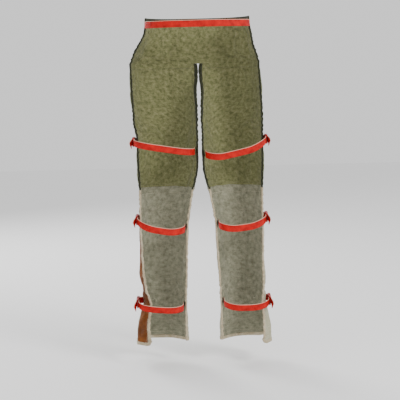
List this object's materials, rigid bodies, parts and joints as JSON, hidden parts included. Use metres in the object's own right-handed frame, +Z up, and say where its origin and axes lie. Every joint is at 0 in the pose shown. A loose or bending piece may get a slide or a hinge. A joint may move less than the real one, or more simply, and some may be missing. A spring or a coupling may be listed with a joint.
{
  "type": "chainsaw chaps",
  "caption": "Protective over-trousers for chainsaw work: a waist apron on a belt, with two padded leg panels strapped behind the legs by side-release buckles.",
  "frame": {"origin": "centre of the waist opening at the belt's mid-height", "axes": "+Z up along the body, -Y towards the wearer's front, +X towards the wearer's left"},
  "size_m": [0.411, 0.2265, 0.978],
  "materials": {
    "olive_shell": "matte woven nylon",
    "sand_shell": "matte cotton canvas",
    "olive_lining": "matte mottled twill",
    "grey_lining": "matte mottled twill",
    "brown_facing": "matte cotton duck",
    "dark_binding": "matte folded tape",
    "sand_binding": "matte folded tape",
    "cut_resistant_layers": "matte knitted fibre",
    "red_webbing": "semi-gloss polyester webbing",
    "red_buckle": "satin moulded plastic"
  },
  "bodies": {
    "waist": {"apron_shell": "olive_shell", "apron_lining": "olive_lining", "apron_binding": "dark_binding", "belt_webbing": "red_webbing", "belt_receptacle": "red_buckle", "belt_loops": "olive_shell"},
    "belt_release": {"belt_tongue": "red_buckle", "belt_tail": "red_webbing"},
    "left_thigh": {"left_thigh_shell": "olive_shell", "left_thigh_pad": "cut_resistant_layers", "left_thigh_lining": "olive_lining", "left_thigh_binding": "dark_binding", "left_thigh_strap": "red_webbing", "left_thigh_tab": "red_webbing", "left_thigh_receptacle": "red_buckle"},
    "left_shin": {"left_shin_shell": "sand_shell", "left_shin_pad": "cut_resistant_layers", "left_shin_lining": "grey_lining", "left_shin_binding": "sand_binding", "left_knee_strap": "red_webbing", "left_knee_tab": "red_webbing", "left_knee_receptacle": "red_buckle", "left_calf_strap": "red_webbing", "left_calf_tab": "red_webbing", "left_calf_receptacle": "red_buckle"},
    "left_thigh_release": {"left_thigh_tongue": "red_buckle", "left_thigh_tail": "red_webbing"},
    "left_knee_release": {"left_knee_tongue": "red_buckle", "left_knee_tail": "red_webbing"},
    "left_calf_release": {"left_calf_tongue": "red_buckle", "left_calf_tail": "red_webbing"},
    "right_thigh": {"right_thigh_shell": "olive_shell", "right_thigh_pad": "cut_resistant_layers", "right_thigh_lining": "olive_lining", "right_thigh_binding": "dark_binding", "right_thigh_strap": "red_webbing", "right_thigh_tab": "red_webbing", "right_thigh_receptacle": "red_buckle"},
    "right_shin": {"right_shin_shell": "sand_shell", "right_shin_pad": "cut_resistant_layers", "right_shin_lining": "grey_lining", "right_shin_binding": "sand_binding", "right_knee_strap": "red_webbing", "right_knee_tab": "red_webbing", "right_knee_receptacle": "red_buckle", "right_calf_strap": "red_webbing", "right_calf_tab": "red_webbing", "right_calf_receptacle": "red_buckle"},
    "right_thigh_release": {"right_thigh_tongue": "red_buckle", "right_thigh_tail": "red_webbing"},
    "right_knee_release": {"right_knee_tongue": "red_buckle", "right_knee_tail": "red_webbing"},
    "right_calf_release": {"right_calf_tongue": "red_buckle", "right_calf_tail": "red_webbing"}
  },
  "joints": [
    {"name": "belt_buckle_slide", "type": "slide", "parent": "waist", "child": "belt_release", "axis": [-1, 0, 0], "range_m": [0, 0.022]},
    {"name": "left_hip_fold", "type": "hinge", "parent": "waist", "child": "left_thigh", "pos_m": [0.1, -0.1135, -0.115], "axis": [-1, 0, 0], "range_deg": [0, 60]},
    {"name": "left_knee_fold", "type": "hinge", "parent": "left_thigh", "child": "left_shin", "pos_m": [0.104, 0.013, -0.489], "axis": [1, 0, 0], "range_deg": [0, 75]},
    {"name": "left_thigh_buckle_slide", "type": "slide", "parent": "left_thigh", "child": "left_thigh_release", "axis": [0, 1, 0], "range_m": [0, 0.022]},
    {"name": "left_knee_buckle_slide", "type": "slide", "parent": "left_shin", "child": "left_knee_release", "axis": [0, 1, 0], "range_m": [0, 0.022]},
    {"name": "left_calf_buckle_slide", "type": "slide", "parent": "left_shin", "child": "left_calf_release", "axis": [0, 1, 0], "range_m": [0, 0.022]},
    {"name": "right_hip_fold", "type": "hinge", "parent": "waist", "child": "right_thigh", "pos_m": [-0.1, -0.1135, -0.115], "axis": [-1, 0, 0], "range_deg": [0, 60]},
    {"name": "right_knee_fold", "type": "hinge", "parent": "right_thigh", "child": "right_shin", "pos_m": [-0.104, 0.013, -0.489], "axis": [1, 0, 0], "range_deg": [0, 75]},
    {"name": "right_thigh_buckle_slide", "type": "slide", "parent": "right_thigh", "child": "right_thigh_release", "axis": [0, 1, 0], "range_m": [0, 0.022]},
    {"name": "right_knee_buckle_slide", "type": "slide", "parent": "right_shin", "child": "right_knee_release", "axis": [0, 1, 0], "range_m": [0, 0.022]},
    {"name": "right_calf_buckle_slide", "type": "slide", "parent": "right_shin", "child": "right_calf_release", "axis": [0, 1, 0], "range_m": [0, 0.022]}
  ]
}
